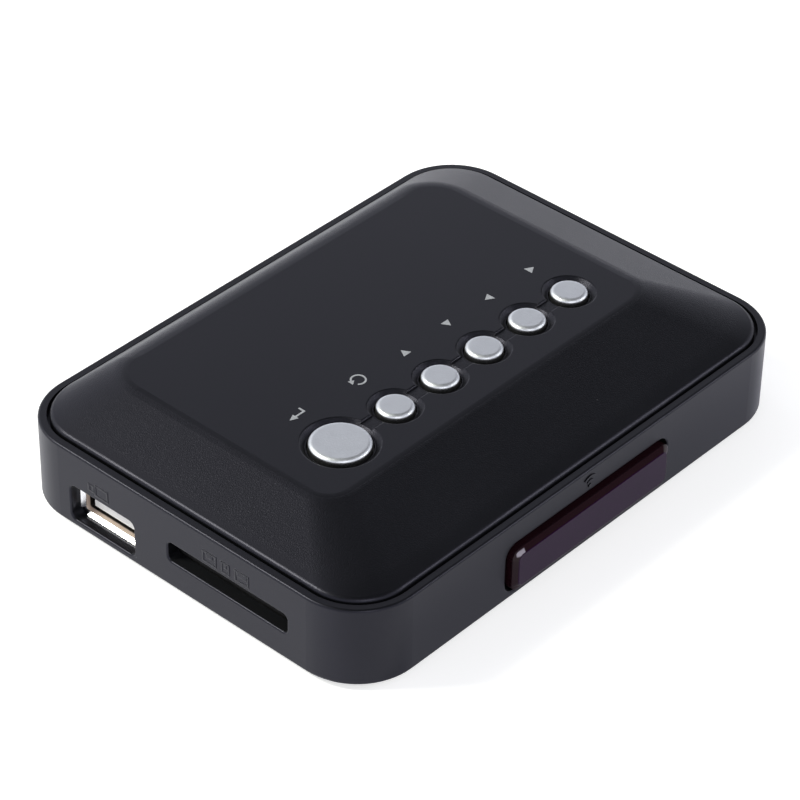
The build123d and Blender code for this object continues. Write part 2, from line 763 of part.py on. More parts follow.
feet = []
case_screws = []
for x, y in corner_points():
    foot = rod(x, y, 0, base_z + foot_sunk, foot_d / 2)
    feet.append(fillet(foot.faces().sort_by(Axis.Z)[0].edges(), 0.4))
    under_head = base_z + foot_sunk + head_t
    case_screws.append(screw(x, y, base_z + foot_sunk, under_head, screw_l, shank_r, head_r, head_t))
save(group(feet), "rubber_feet")
save(group(case_screws), "case_screws")

board_screws = []
for x, y in board_points():
    head = rod(x, y, board_z, board_z + board_head_t, board_head_r)
    head -= block(x - 1.3, x + 1.3, y - 0.2, y + 0.2, board_z + board_head_t / 2, rim_z)
    head += rod(x, y, board_z - board_shank_l, board_z, board_shank_r)
    board_screws.append(head)
save(group(board_screws), "board_screws")

key_screws = []
for x, y in key_points():
    under = key_z - key_board_t
    length = board_shank_l + key_board_t - 0.4
    head_z = under - board_head_t
    key_screws.append(screw(x, y, head_z, under, length, board_shank_r, board_head_r, board_head_t))
save(group(key_screws), "key_board_screws")

save(group([switch_housing(x) for name, x, r in buttons]), "key_switches")
save(group([switch_frame(x) for name, x, r in buttons]), "switch_frames")
for name, x, r in buttons:
    save(button_cap(x, r), name + "_button")
    save(plunger(x), name + "_plunger")

for names, pieces in (
    (("drive_socket_shell", "drive_socket_tongue", "drive_socket_contacts"), drive_socket()),
    (("card_socket_base", "card_socket_cover", "card_socket_contacts"), card_socket()),
    (("video_socket_shell", "video_socket_tongue", "video_socket_contacts"), video_socket()),
    (("av_jack_body", "av_jack_bush"), av_jack()),
    (("power_jack_body", "power_jack_pin"), power_jack()),
    (("remote_receiver", "receiver_leads"), receiver()),
    (("status_light", "status_light_leads"), status_light()),
    (("main_chip", "main_chip_leads"),
     chip(on_board(0.083, 0.28), main_chip_w, main_chip_w, 1.4, 16, 16, 0.8)),
    (("memory_chip", "memory_chip_leads"), chip(on_board(0.64, 0.11), memory_w, memory_d, 1.1, 12, 0, 1.27)),
    (("flash_chip", "flash_chip_leads"), chip(on_board(0.083, -0.62), flash_w, flash_w, 1.6, 4, 0, 1.27)),
    (("key_header", "key_header_pins", "key_socket"), key_link()),
):
    for name, piece in zip(names, pieces):
        save(piece, name)

save(crystal_can(), "crystal_can")
capacitor_places = [on_board(-0.29, 0.42), on_board(0.39, 0.45), on_board(0.68, -0.76)]
save(group([capacitor(place) for place in capacitor_places]), "filter_capacitors")
save(power_inductor(), "power_inductor")
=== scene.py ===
# %% [markdown]
# # Dressing a small media player
# The object is a flat black box, about as long as a hand, with six silver buttons on its
# sloped lid, a dark red remote window in front, and a drive port and a card slot on the left.
# The CAD model already holds every rigid solid, so this lesson gives each of them a finish,
# adds the printed and moulded signs, and lights the box as on a photographer's white table.
# Everything is in metres, in the frame of the CAD model: +Z is up, the front looks to -Y.

# %% Load the frame
import math

import bmesh
import bpy
from mathutils import Matrix, Vector


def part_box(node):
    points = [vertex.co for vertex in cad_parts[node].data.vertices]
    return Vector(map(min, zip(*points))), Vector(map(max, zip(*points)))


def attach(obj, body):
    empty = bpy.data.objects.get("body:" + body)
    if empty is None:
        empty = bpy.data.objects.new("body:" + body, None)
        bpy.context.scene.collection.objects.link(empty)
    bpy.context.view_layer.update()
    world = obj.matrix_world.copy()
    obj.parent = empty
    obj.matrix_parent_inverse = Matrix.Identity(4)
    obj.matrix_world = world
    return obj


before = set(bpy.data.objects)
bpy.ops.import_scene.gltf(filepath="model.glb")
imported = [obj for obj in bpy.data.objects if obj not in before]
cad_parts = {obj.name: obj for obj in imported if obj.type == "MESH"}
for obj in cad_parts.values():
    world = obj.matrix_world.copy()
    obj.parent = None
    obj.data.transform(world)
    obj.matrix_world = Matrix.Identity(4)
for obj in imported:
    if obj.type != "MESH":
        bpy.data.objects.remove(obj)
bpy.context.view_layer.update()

MM = 0.001

# %% [markdown]
# ## The camera
# A product shot like this is taken with a long lens from well away, so that the sides stay
# almost parallel. We could nudge the camera by eye, but a few numbers say it better: the
# point that it looks at, how far away it stands and in which direction, a small tilt of the
# hand, and the lens. The three columns of its matrix are its right, its up and its back.

# %% Camera
look_at = Vector((-4.014, -1.783, 12.345)) * MM
distance = 536.6 * MM
azimuth = math.radians(-48.388)
elevation = math.radians(37.512)
tilt = math.radians(1.063)
focal_length = 151.24
film_width = 36.0

back = Vector((math.sin(azimuth) * math.cos(elevation),
               -math.cos(azimuth) * math.cos(elevation),
               math.sin(elevation)))
level = back.cross(Vector((0, 0, 1))).normalized() * -1
upright = back.cross(level)
right = level * math.cos(tilt) + upright * math.sin(tilt)
up = upright * math.cos(tilt) - level * math.sin(tilt)

lens = bpy.data.cameras.new("table_camera")
lens.lens = focal_length
lens.sensor_width = film_width
lens.clip_start = 10 * MM
camera = bpy.data.objects.new("table_camera", lens)
bpy.context.scene.collection.objects.link(camera)
turn = Matrix((right, up, back)).transposed()
camera.matrix_world = Matrix.Translation(look_at + back * distance) @ turn.to_4x4()
bpy.context.scene.camera = camera
print("camera at", [round(v, 3) for v in camera.location])

# %% [markdown]
# ## A small language for finishes
# A finish is a material made of nodes. Wiring them by hand takes many lines, so three small
# classes do it. A Wire holds one socket, and plus, minus or times on it adds the Math node
# that does the sum. A Patch holds a tree of nodes, and its one method `node` adds any other
# node. A Finish is the patch of a material. All patterns read Object coordinates: each piece
# sits at the origin with its place in its mesh, so a pattern stays on its piece in every pose.

# %% Wires
class Wire:
    """One socket of a patch. Sums with it add Math nodes."""

    def __init__(self, patch, socket):
        self.patch = patch
        self.socket = socket

    def maths(self, operation, first, second):
        return self.patch.node("ShaderNodeMath", {"operation": operation}, {0: first, 1: second})

    def __add__(self, other):
        return self.maths("ADD", self, other)

    def __sub__(self, other):
        return self.maths("SUBTRACT", self, other)

    def __rsub__(self, other):
        return self.maths("SUBTRACT", other, self)

    def __mul__(self, other):
        return self.maths("MULTIPLY", self, other)

    def __lt__(self, other):
        return self.maths("LESS_THAN", self, other)

    def __gt__(self, other):
        return self.maths("GREATER_THAN", self, other)

    def __or__(self, other):
        return self.maths("MAXIMUM", self, other)

    def rise(self, edge, soft):
        """From 0 to 1 round an edge, over a soft width."""
        sums = {"operation": "MULTIPLY_ADD", "use_clamp": True}
        values = {0: self, 1: 1 / soft, 2: 0.5 - edge / soft}
        return self.patch.node("ShaderNodeMath", sums, values)

    def within(self, low, high, soft=0.22):
        """1 between two edges, 0 outside them."""
        return self.rise(low, soft) * (1 - self.rise(high, soft))

    __radd__ = __add__
    __rmul__ = __mul__


# %% Patches
class Patch:
    """A tree of nodes."""

    def __init__(self, tree):
        self.tree = tree

    def node(self, kind, settings={}, sockets={}, output=0):
        """Add a node: its type, its settings, what its sockets get, and the output to use."""
        made = self.tree.nodes.new(kind)
        for name, value in settings.items():
            if name == "stops":
                self.stops(made.color_ramp.elements, value)
            else:
                setattr(made, name, value)
        for name, value in sockets.items():
            self.feed(made.inputs[name], value)
        return Wire(self, made.outputs[output])

    def stops(self, elements, colours):
        """Set a ramp, given as {place: colour}. A new ramp has two stops already."""
        for step, place in enumerate(colours):
            if step > 1:
                elements.new(place)
            elements[step].position = place
            elements[step].color = colours[place]

    def feed(self, socket, value):
        """A wire is linked to the socket, and a plain value is set in it."""
        if isinstance(value, Wire):
            self.tree.links.new(value.socket, socket)
        else:
            socket.default_value = value


# %% Finishes
class Finish(Patch):
    """A material, its main shader, and the place on the piece."""

    def __init__(self, name, uniform):
        self.material = bpy.data.materials.new(name)
        self.material.use_nodes = True
        super().__init__(self.material.node_tree)
        self.shader = self.tree.nodes["Principled BSDF"]
        self.place = self.node("ShaderNodeTexCoord", output="Object")
        self.surface(uniform)

    def surface(self, sockets):
        """Feed sockets of the main shader."""
        for name, value in sockets.items():
            self.feed(self.shader.inputs[name], value)

    def noise(self, size, detail=2.0, place=None):
        """Soft random values, with lumps of a size in millimetres."""
        sockets = {"Vector": place or self.place, "Scale": 1 / (size * MM), "Detail": detail}
        return self.node("ShaderNodeTexNoise", {}, sockets)

    def cells(self, size, output="Distance"):
        """Random cells of a size in millimetres: the distance in a cell, or its own colour."""
        sockets = {"Vector": self.place, "Scale": 1 / (size * MM)}
        return self.node("ShaderNodeTexVoronoi", {}, sockets, output)

    def axis(self, letter):
        """One coordinate of the place, in millimetres."""
        return self.node("ShaderNodeSeparateXYZ", {}, {"Vector": self.place}, letter) * (1 / MM)

    def blend(self, factor, first, second):
        """A colour between two others."""
        colours = {0: factor, 6: first, 7: second}
        return self.node("ShaderNodeMix", {"data_type": "RGBA"}, colours, 2)

    def raised(self, height, depth):
        """Bump: a height from 0 to 1 stands for a depth in millimetres."""
        bump = self.node("ShaderNodeBump", {}, {"Height": height, "Distance": depth * MM})
        self.surface({"Normal": bump})


# %% Greys, and dressing
def grey(value, warm=0.0):
    """A grey, a little warmer or cooler."""
    return (value * (1 + warm), value, value * (1 - warm), 1.0)


def dress(finish, *names):
    """Put a finish on CAD nodes."""
    for name in names:
        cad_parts[name].material_slots[0].material = finish.material
    print(finish.material.name, "on", ", ".join(names))


# %% [markdown]
# ## Black moulded plastic
# Both halves of the box are black plastic from a mould whose steel was spark-eroded, so the
# skin is satin with a very fine grain. Nearly all the light that it sends back is a soft
# reflection of the white table, and its own colour is close to black. A flat black would look
# like a hole in the picture, so the finish has three layers: a slow change of tone, the grain
# as a bump, and a few specks of dust. The relief is the last word of whoever made the mould:
# the lid is grained on its slopes and almost smooth on top and along the round at its foot.

# %% The black plastic
satin = 0.30


def moulded_black(name):
    """Black satin plastic, with its grain from 0 to 1 and its colour."""
    finish = Finish(name, {"IOR": 1.405, "Specular Tint": (0.79, 0.78, 1.0, 1.0)})
    slow = finish.noise(18.0)
    fine = finish.noise(0.20, 3.0)
    tone = finish.blend(slow, grey(0.0022, -0.10), grey(0.0036, -0.10))
    near = finish.cells(3.2) < 0.028
    rare = finish.cells(3.2, "Color") > 0.86
    speckled = finish.blend(near * rare, tone, grey(0.16))
    finish.surface({"Base Color": speckled, "Roughness": satin + 0.07 * slow + 0.06 * fine})
    return finish, fine, speckled


# %% Cover
flat_top = 20.12
foot_round = 16.6
grain_depth = 0.050
cover_black, grain, _ = moulded_black("cover_black")
height = cover_black.axis("Z")
on_slope = (height < flat_top) * height.rise(foot_round, 0.6)
cover_black.raised(grain * (0.15 + 0.80 * on_slope), grain_depth)
dress(cover_black, "top_cover")

# %% [markdown]
# ## Moulded signs
# The left wall has small signs over its two ports, a drive stick and three cards. They stand a
# little proud, in the same black, so they only show by the light on their edges. They could be
# modelled as thin pieces, but this wall is the widest place of the box, so pieces on it would
# make the box wider than it is. A height in the bump leaves its size alone. Each sign is drawn
# with sums: inside one rectangle and not inside a smaller one.

# %% Case, and a line round a rectangle
case_black, grain, speckled = moulded_black("case_black")
x, y, z = [case_black.axis(letter) for letter in "XYZ"]
dress(case_black, "lower_case")


def outline(y_low, y_high, z_low, z_high, line=0.35):
    """A line round a rectangle on the left wall, all in millimetres."""
    inner = y.within(y_low + line, y_high - line) * z.within(z_low + line, z_high - line)
    return y.within(y_low, y_high) * z.within(z_low, z_high) - inner


# %% Drive stick and cards
left_wall = -51.5
sign_depth = 0.46
stick = outline(15.4, 18.4, 9.8, 12.0)
plug = y.within(18.4, 19.9) * z.within(10.2, 11.6) - y.within(18.9, 19.4) * z.within(10.5, 11.3)
left_signs = stick | plug
cards = ((-6.6, 1.5, 0.7), (-10.0, 0.9, 0.3), (-13.4, 1.5, 1.1))
for middle, half, pads in cards:
    card = outline(middle - half, middle + half, 10.4, 12.6)
    contacts = y.within(middle - pads, middle + pads) * z.within(11.5, 12.3)
    left_signs = left_signs | card | contacts

case_black.raised(0.02 * grain + (x < left_wall) * left_signs, sign_depth)
print("a drive stick and", len(cards), "cards on the left wall")

# %% [markdown]
# ## A paler floor in the card slot
# The floor of the slot is a little paler than the walls. A sheet could be a piece of its own,
# but it has no thickness to show, so the paler tone is mixed into the colour of the case, inside
# a box that holds just that floor.

# %% Paler floor
# A paler tone on the floor of the slot.
in_slot = x.within(-51.8, -49.3) * y.within(-22.8, 2.6) * z.within(5.9, 6.4)
paler_slot_floor = case_black.blend(in_slot * (0.4 + grain), speckled, grey(0.009, -0.06))
case_black.surface({"Base Color": paler_slot_floor})
print("dust between 5.9 and 6.4 mm above the table")

# %% [markdown]
# ## The remote window
# The window passes the remote's invisible light and stops most of what we see, so it looks
# almost black, with red in its edges. Polished plastic is smooth, which makes the white table
# show in its face as a violet grey. The pane could be made see-through, but light hardly
# comes back out of it, so a deep red under a clear gloss gives the same look without noise.
# The bevel has a redder tone than the face, its lower side is dull, and one upper corner has a
# pale painted highlight.

# %% Window pane
window_red = Finish("window_red", {"IOR": 1.265})
mist = window_red.noise(5.0)
smears = window_red.noise(1.4, 3.0)
x, y, z = [window_red.axis(letter) for letter in "XYZ"]
in_face = y < -39.0
on_bevel = y < -38.6
underside = z < 3.77

edge_red = window_red.blend(mist, (0.0115, 0.0036, 0.0054, 1.0), (0.0150, 0.0042, 0.0066, 1.0))
face_red = window_red.blend(mist, (0.0120, 0.0005, 0.0155, 1.0), (0.0160, 0.0008, 0.0195, 1.0))
# A pale painted highlight on one upper corner of the bevel.
painted_glint = x.within(-18.2, -16.5) * z.within(9.6, 10.4) * on_bevel * (0.5 + 0.9 * smears)
bevel_with_painted_glint = window_red.blend(painted_glint, edge_red, (0.32, 0.29, 0.33, 1.0))
both_reds = window_red.blend(in_face, bevel_with_painted_glint, face_red)
window_red.surface({"Base Color": both_reds, "Roughness": 0.07 + 0.06 * smears + 0.50 * underside})
window_red.raised(smears, 0.004)
dress(window_red, "window_pane")

# %% [markdown]
# ## Silver buttons
# The caps are plastic with a thin coat of metal, blasted a little so that they look satin.
# A metal has no colour of its own apart from what it mirrors, so the look comes from its
# roughness: fine flakes for the sparkle, and slow clouds where fingers have polished it. The
# sides below the round edge are painted dark, a painted reflection of the dark well round them.

# %% Buttons
button_silver = Finish("button_silver", {"Metallic": 1.0})
flakes = button_silver.noise(0.24, 3.0)
touch = button_silver.noise(2.6)
silver = button_silver.blend(touch, grey(0.725, -0.03), grey(0.805, -0.03))
# Painted shade: the sides of the caps, below the round edge, are painted dark.
painted_dark_side = button_silver.blend(flakes, grey(0.04), grey(0.34))
painted_shade_line = 20.10
above_painted_shade = button_silver.axis("Z").rise(painted_shade_line, 0.14)
silver_and_painted_shade = button_silver.blend(above_painted_shade, painted_dark_side, silver)
button_silver.surface({"Base Color": silver_and_painted_shade, "Roughness": 0.36 + 0.10 * flakes + 0.06 * touch})
button_silver.raised(flakes, 0.030)
button_names = ["enter", "back", "up", "down", "left", "right"]
dress(button_silver, *[name + "_button" for name in button_names])

# %% [markdown]
# ## Printed signs
# Each button has a sign in silver ink, printed on the lid behind it. Ink could be painted into
# the cover's finish, but a thin piece of its own has sharper edges and can be taken off by
# whoever uses the part. A shape starts as a flat circle or plane, gets its outline by
# extruding edges, and is then made a few hundredths of a millimetre thick.

# %% Helpers for flat shapes
ink_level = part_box("top_cover")[1].z
ink_thick = 0.04 * MM
print("ink lies at", round(ink_level / MM, 2), "mm")


def pick(test):
    """In edit mode, select the vertices that pass a test, and what is between them."""
    bpy.ops.mesh.select_all(action="DESELECT")
    shape = bmesh.from_edit_mesh(bpy.context.object.data)
    for vertex in shape.verts:
        vertex.select = test(vertex.co / MM)
    shape.select_flush(True)
    bmesh.update_edit_mesh(bpy.context.object.data)


def draw_out(along, across):
    """Extrude the picked edge by so many millimetres, and widen or narrow its new end."""
    move = {"value": (along[0] * MM, along[1] * MM, 0)}
    bpy.ops.mesh.extrude_edges_move(TRANSFORM_OT_translate=move)
    ends = [v.co for v in bmesh.from_edit_mesh(bpy.context.object.data).verts if v.select]
    middle = bpy.context.object.matrix_world @ (sum(ends, Vector()) / len(ends))
    bpy.ops.transform.resize(value=(across, across, 1), center_override=middle)


# %% A flat shape becomes a sign
def print_sign(name, finish, proud=(0, 0, ink_thick)):
    """Close the flat shape, make it stand proud, and let it ride on the case."""
    bpy.ops.mesh.select_all(action="SELECT")
    bpy.ops.mesh.remove_doubles(threshold=0.02 * MM)
    bpy.ops.mesh.extrude_region_move(TRANSFORM_OT_translate={"value": proud})
    bpy.ops.mesh.select_all(action="SELECT")
    bpy.ops.mesh.normals_make_consistent(inside=False)
    bpy.ops.object.mode_set(mode="OBJECT")
    sign = bpy.context.object
    sign.name = name
    bpy.ops.object.transform_apply(location=True, rotation=True, scale=True)
    sign.data.materials.append(finish.material)
    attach(sign, "case")
    print(name, "with", len(sign.data.polygons), "faces")


# %% Ink
silver_ink = Finish("silver_ink", {"Metallic": 0.4})
worn = silver_ink.noise(0.5, 3.0)
silver_ink.surface({"Base Color": silver_ink.blend(worn, grey(0.30, -0.03), grey(0.62, -0.03))})
silver_ink.surface({"Roughness": 0.40 + 0.15 * worn})
silver_ink.raised(worn, 0.004)
print(silver_ink.material.name, "with", len(silver_ink.tree.nodes), "nodes")

# %% [markdown]
# ## Triangles
# Four buttons move a mark over the screen, and the triangle behind each points its way. We
# could draw four, but they are one shape in four places, so it is modelled once: a circle with
# three corners, which are then blunted. Each copy has its own mesh, its turn and its place.

# %% One triangle
bpy.ops.object.select_all(action="DESELECT")
bpy.ops.mesh.primitive_circle_add(vertices=3, radius=1.0 * MM, fill_type="NGON",
                                  location=(0, 0, ink_level))
bpy.ops.object.mode_set(mode="EDIT")
bpy.ops.mesh.bevel(offset=0.08 * MM, segments=2, affect="VERTICES")
bpy.ops.object.mode_set(mode="OBJECT")
triangle = bpy.context.object
print("a triangle with", len(triangle.data.vertices), "corners")

# %% Its four copies
for name, place, turn in (("up_sign", (-2.0, -0.95), 0), ("down_sign", (8.5, -0.35), 180),
                          ("left_sign", (18.5, -0.70), 90), ("right_sign", (29.0, -0.45), -90)):
    bpy.ops.object.select_all(action="DESELECT")
    triangle.select_set(True)
    bpy.context.view_layer.objects.active = triangle
    bpy.ops.object.duplicate()
    bpy.context.object.location = (place[0] * MM, place[1] * MM, ink_level)
    bpy.context.object.rotation_euler.z = math.radians(turn)
    bpy.ops.object.mode_set(mode="EDIT")
    print_sign(name, silver_ink)
bpy.data.objects.remove(triangle)

# %% [markdown]
# ## A bent arrow
# The large button enters what is chosen, and its arrow comes from behind and turns left. A
# curve with a width could follow that path, but four extrusions from a small square do: the
# stem goes back, the shaft goes left, widens at once for the barbs, and closes to a tip.

# %% Bent arrow
stroke, stem, shaft, tip = 0.32, 1.0, 1.7, 1.35
bpy.ops.object.select_all(action="DESELECT")
bpy.ops.mesh.primitive_plane_add(size=stroke * MM, location=(-24.0 * MM, 0.31 * MM, ink_level))
bpy.ops.object.mode_set(mode="EDIT")
pick(lambda v: v.y > 0)
draw_out((0.0, stem), 1.0)
pick(lambda v: v.x < 0 and v.y < 0.2)
draw_out((-shaft, 0.0), 1.0)
draw_out((-0.03, 0.0), 3.9)
draw_out((-tip, 0.0), 0.01)
print_sign("enter_sign", silver_ink)

# %% [markdown]
# ## A round arrow
# The button that goes back has an arrow bent round to its own tail. It could be a thin ring
# with a part cut out, but a line is simpler to cut: a circle loses the corners in its gap, gets
# its width from a smaller copy of its line, and grows barbs and a tip at one end.

# %% Round arrow
ring, hole = 1.35, 0.77
bpy.ops.object.select_all(action="DESELECT")
bpy.ops.mesh.primitive_circle_add(vertices=36, radius=ring * MM, fill_type="NOTHING",
                                  location=(-12.3 * MM, -0.3 * MM, ink_level))
bpy.ops.object.mode_set(mode="EDIT")
pick(lambda v: v.x < -0.9 and -0.75 < v.y < 0.62)
bpy.ops.mesh.delete(type="VERT")
bpy.ops.mesh.select_all(action="SELECT")
bpy.ops.mesh.extrude_edges_move()
bpy.ops.transform.resize(value=(hole, hole, 1), center_override=bpy.context.object.location)
pick(lambda v: 145 < math.degrees(math.atan2(v.y, v.x)) < 155)
draw_out((-0.015, -0.026), 3.4)
draw_out((-0.50, -0.87), 0.01)
print_sign("back_sign", silver_ink)

# %% [markdown]
# ## A sign over the window
# A dot with two waves over it says where a remote is to be aimed. It is moulded in the front
# wall, behind the face of the window, so here a piece does fit inside the box. It is drawn like
# the round arrow, but upright: each circle is turned to face the front, loses all but its
# upper quarter, and gets its width from a smaller copy of its line.

# %% Dot and waves
front_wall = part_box("lower_case")[0].y
facing = {"location": (0, front_wall, 12.5 * MM), "rotation": (math.radians(90), 0, 0)}
bpy.ops.object.select_all(action="DESELECT")
bpy.ops.mesh.primitive_circle_add(vertices=20, radius=0.4 * MM, fill_type="NGON", **facing)
bpy.ops.object.mode_set(mode="EDIT")
for outer, inner in ((1.2, 0.8), (2.0, 1.6)):
    bpy.ops.mesh.primitive_circle_add(vertices=48, radius=outer * MM, fill_type="NOTHING",
                                      **facing)
    pick(lambda v: abs(v.length - outer) < 0.05 and v.y < 0.99 * abs(v.x))
    bpy.ops.mesh.delete(type="VERT")
    pick(lambda v: abs(v.length - outer) < 0.05)
    bpy.ops.mesh.extrude_edges_move()
    bpy.ops.transform.resize(value=[inner / outer] * 3, center_override=facing["location"])
print_sign("window_sign", case_black, (0, -0.18 * MM, 0))

# %% [markdown]
# ## The sockets and what is on the boards
# The ports are pressed steel and moulded plastic, and behind them are two green boards. Little
# of this shows, but it does show in a close look into a port, so each gets its own small
# finish. All the metals are rolled sheet or drawn wire, so one function makes them: streaks
# from a noise that is stretched along X, over slow clouds of tarnish.

# %% Metals
def rolled_metal(name, colour, rough, streak):
    """Plated metal: long streaks along X, from noise on a stretched place."""
    finish = Finish(name, {"Metallic": 1.0})
    along_x = {"Vector": finish.place, "Scale": (0.12, 1.0, 1.0)}
    stretched = finish.node("ShaderNodeMapping", {}, along_x)
    lines = finish.noise(streak, 3.0, stretched)
    cloud = finish.noise(2.2)
    darker = tuple(0.72 * c for c in colour[:3]) + (1.0,)
    tarnished = finish.blend(cloud, darker, colour)
    finish.surface({"Base Color": tarnished, "Roughness": rough + 0.18 * lines})
    finish.raised(lines, 0.003)
    return finish


socket_steel = rolled_metal("socket_steel", grey(0.80, 0.02), 0.16, 0.25)
screw_steel = rolled_metal("screw_steel", grey(0.46, 0.01), 0.26, 0.20)
lead_tin = rolled_metal("lead_tin", grey(0.66), 0.34, 0.15)
contact_gold = rolled_metal("contact_gold", (0.83, 0.60, 0.24, 1.0), 0.18, 0.15)
dress(socket_steel, "card_socket_cover", "video_socket_shell", "av_jack_bush", "power_jack_pin",
      "switch_frames", "crystal_can")
dress(screw_steel, "case_screws", "board_screws", "key_board_screws")
dress(lead_tin, "main_chip_leads", "memory_chip_leads", "flash_chip_leads", "receiver_leads",
      "status_light_leads")
dress(contact_gold, "drive_socket_contacts", "card_socket_contacts", "video_socket_contacts",
      "key_header_pins")

# %% [markdown]
# ## The drive socket
# Plugs polish the lips of this socket bright. Behind them the steel is painted a mottled beige
# brown, a painted reflection of the tongue, and farther in it is painted near black, a painted
# shade. Two finishes on one piece would need a cut in its mesh, so one finish changes with the
# distance into the case instead.

# %% Drive socket
lips, painted_shade_from = -49.5, -48.75
drive_steel = Finish("drive_steel", {})
mottle = drive_steel.noise(0.9, 3.0)
into_case = drive_steel.axis("X")
inside = into_case > lips
into_painted_shade = into_case.rise(painted_shade_from, 0.2)
# Painted reflection of the tongue behind the lips, and painted shade farther in.
painted_tongue_reflection = drive_steel.blend(mottle, (0.52, 0.38, 0.29, 1.0), (0.84, 0.72, 0.62, 1.0))
painted_reflection_and_shade = drive_steel.blend(into_painted_shade, painted_tongue_reflection, grey(0.012, 0.1))
drive_steel.surface({"Base Color": drive_steel.blend(inside, grey(0.86), painted_reflection_and_shade)})
drive_steel.surface({"Metallic": 1 - inside, "Roughness": 0.16 + 0.14 * mottle})
drive_steel.raised(mottle, 0.003)
dress(drive_steel, "drive_socket_shell")

# %% [markdown]
# ## Plastics and rubber
# Tongues, plugs, chips and feet are plain mouldings. They could share one grey, but plastics
# differ in how dull they are and how coarse their skin is, so a function takes two colours for
# a faint cast between them, the roughness, and the size and depth of the grain.

# %% Plastics and rubber
def moulded(name, low, high, rough, grain, depth):
    """A plain moulding: a faint cast between two colours, and a fine grain."""
    finish = Finish(name, {"IOR": 1.5})
    fine = finish.noise(grain, 3.0)
    cast = finish.blend(finish.noise(4.0), low, high)
    finish.surface({"Base Color": cast, "Roughness": rough + 0.12 * fine})
    finish.raised(fine, depth)
    return finish


tongue_white = moulded("tongue_white", (0.86, 0.85, 0.83, 1.0), (0.92, 0.91, 0.90, 1.0),
                       0.35, 0.4, 0.004)
moulding_black = moulded("moulding_black", grey(0.012), grey(0.020), 0.42, 0.3, 0.010)
chip_black = moulded("chip_black", grey(0.018, 0.04), grey(0.030, 0.04), 0.55, 0.12, 0.008)
plunger_black = moulded("plunger_black", grey(0.014), grey(0.022), 0.36, 0.3, 0.006)
receiver_dark = moulded("receiver_dark", (0.010, 0.006, 0.008, 1.0), (0.020, 0.010, 0.014, 1.0),
                        0.14, 1.0, 0.004)
ferrite_grey = moulded("ferrite_grey", grey(0.055), grey(0.085), 0.62, 0.15, 0.020)
foot_rubber = moulded("foot_rubber", grey(0.010), grey(0.018), 0.70, 0.22, 0.030)
dress(tongue_white, "drive_socket_tongue")
dress(moulding_black, "card_socket_base", "video_socket_tongue", "av_jack_body",
      "power_jack_body", "key_switches", "key_header", "key_socket")
dress(chip_black, "main_chip", "memory_chip", "flash_chip")
dress(plunger_black, *[name + "_plunger" for name in button_names])
dress(receiver_dark, "remote_receiver")
dress(ferrite_grey, "power_inductor")
dress(foot_rubber, "rubber_feet")

# %% [markdown]
# ## Boards
# A board is glass cloth under green lacquer, with copper tracks that show through it and small
# plated holes. Tracks could be modelled one by one, but they are thinner than a hair and lie
# under the lid, so the joints of a brick pattern stand for them, and cells stand for the holes.

# %% Boards
board_green = Finish("board_green", {"IOR": 1.52})
brick = {"Vector": board_green.place, "Scale": 1 / (3.0 * MM), "Mortar Size": 0.05,
         "Mortar Smooth": 0.1}
tracks = board_green.node("ShaderNodeTexBrick", {"offset": 0.35, "squash": 0.6}, brick, "Fac")
holes = board_green.cells(2.4) < 0.10
lacquer = board_green.blend(board_green.noise(9.0), (0.004, 0.052, 0.018, 1.0),
                            (0.007, 0.078, 0.028, 1.0))
tracked = board_green.blend(tracks, lacquer, (0.020, 0.150, 0.055, 1.0))
board_green.surface({"Base Color": board_green.blend(holes, tracked, (0.55, 0.44, 0.22, 1.0))})
board_green.surface({"Roughness": 0.26 + 0.10 * board_green.noise(0.6)})
board_green.raised(tracks, 0.02)
dress(board_green, "main_board", "key_board")

# %% [markdown]
# ## Capacitors and the small lamp
# A capacitor is a bright can on a black foot, in one piece here, so its finish turns from
# plastic to metal at the height where the can begins. The status light is clear red resin,
# which lets some of the light through.

# %% Capacitors
can_from = 7.15
capacitor_aluminium = Finish("capacitor_aluminium", {})
is_can = capacitor_aluminium.axis("Z") > can_from
drawn = capacitor_aluminium.noise(0.2, 3.0)
skin = capacitor_aluminium.blend(is_can, grey(0.02), grey(0.72))
capacitor_aluminium.surface({"Base Color": skin, "Metallic": is_can})
capacitor_aluminium.surface({"Roughness": 0.30 + 0.15 * drawn})
capacitor_aluminium.raised(drawn, 0.004)
dress(capacitor_aluminium, "filter_capacitors")

# %% Status light
light_lens = Finish("light_lens", {"IOR": 1.5, "Transmission Weight": 0.6})
streaks = light_lens.noise(0.8)
resin = light_lens.blend(streaks, (0.75, 0.10, 0.08, 1.0), (0.85, 0.22, 0.16, 1.0))
light_lens.surface({"Base Color": resin, "Roughness": 0.06 + 0.08 * streaks})
dress(light_lens, "status_light")

# %% [markdown]
# ## The white table
# The box stands on a white sheet under soft light. A big plane is the table. Lamps alone would
# have to be very strong to make it pure white, and that would wash out the box, so the table
# gives a little light of its own to the camera and to mirror-like rays only, less of it in
# front, where the photographer stands. The shadow of the box stays.

# %% Table
bpy.ops.object.select_all(action="DESELECT")
bpy.ops.mesh.primitive_plane_add(size=8.0, location=(0, 0, 0))
table = bpy.context.object
table.name = "white_table"
paper = Finish("white_paper", {"Base Color": (0.86, 0.86, 0.87, 1.0), "Roughness": 0.9,
                               "Specular IOR Level": 0.1, "Emission Strength": 1.0})
table.data.materials.append(paper.material)
print("table", table.dimensions[:2])

